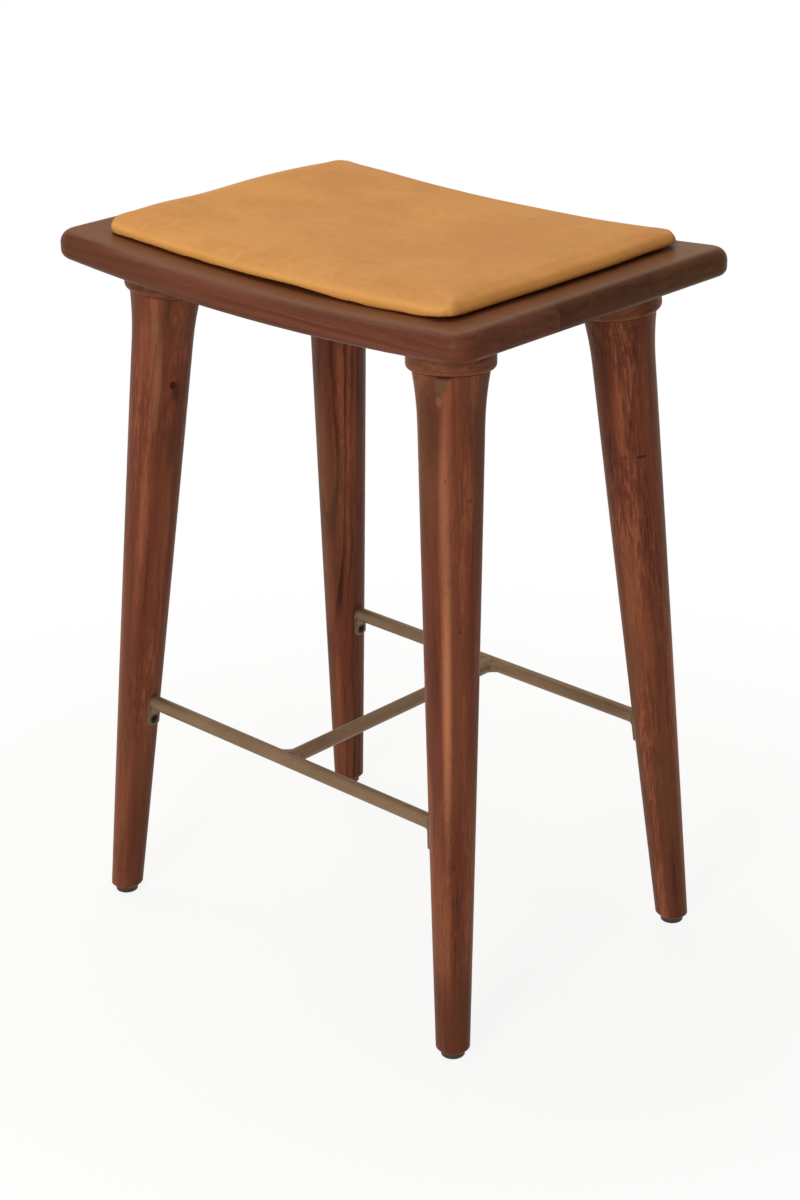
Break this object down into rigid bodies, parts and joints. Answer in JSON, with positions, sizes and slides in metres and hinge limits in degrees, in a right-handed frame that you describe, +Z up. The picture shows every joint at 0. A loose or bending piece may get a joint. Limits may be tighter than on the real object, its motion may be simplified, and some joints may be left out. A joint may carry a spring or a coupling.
{
  "type": "counter stool",
  "caption": "Backless counter stool: saddle-curved wooden seat with a thin leather pad, splayed turned legs with flared heads, and an H-shaped footrest of round metal rod.",
  "frame": {"origin": "centre of the bounding box's base, on the floor", "axes": "+Z up, X along the seat's long side, Y along its short side, and the side that faces the viewer most in the picture, the front, at -Y"},
  "size_m": [0.485, 0.352, 0.6707],
  "materials": {
    "seat_wood": "dark red-brown, satin lacquer",
    "leg_wood": "mid red-brown with darker streaks along the grain, satin lacquer",
    "block_wood": "red-brown, satin lacquer",
    "leather": "mottled tan, soft sheen",
    "footrest_metal": "satin bronze-brown",
    "screw_steel": "dull bronze-brown plating",
    "nail_steel": "plain bright steel",
    "glide_plastic": "dark brown-black, matte",
    "foam": null,
    "pad_board_wood": "plain thin plywood",
    "dust_cloth": "black woven dust cloth",
    "hook_and_loop": "black hook-and-loop tape"
  },
  "bodies": {
    "root": {"seat_front_board": "seat_wood", "seat_middle_board": "seat_wood", "seat_back_board": "seat_wood", "leg_front_left": "leg_wood", "leg_front_right": "leg_wood", "leg_back_left": "leg_wood", "leg_back_right": "leg_wood", "leg_block_front_left": "block_wood", "leg_block_front_right": "block_wood", "leg_block_back_left": "block_wood", "leg_block_back_right": "block_wood", "foot_glide_front_left": "glide_plastic", "foot_glide_front_right": "glide_plastic", "foot_glide_back_left": "glide_plastic", "foot_glide_back_right": "glide_plastic", "footrail_front": "footrest_metal", "footrail_back": "footrest_metal", "footrest_crossbar": "footrest_metal", "crossbar_welds": "footrest_metal", "rail_tab_welds": "footrest_metal", "rail_tab_front_left": "footrest_metal", "rail_tab_front_right": "footrest_metal", "rail_tab_back_left": "footrest_metal", "rail_tab_back_right": "footrest_metal", "tab_screws": "screw_steel", "glide_nails": "nail_steel", "pad_leather_cover": "leather", "pad_foam": "foam", "pad_board": "pad_board_wood", "pad_dust_cloth": "dust_cloth", "pad_hook_patches": "hook_and_loop", "pad_loop_patches": "hook_and_loop"}
  },
  "joints": []
}
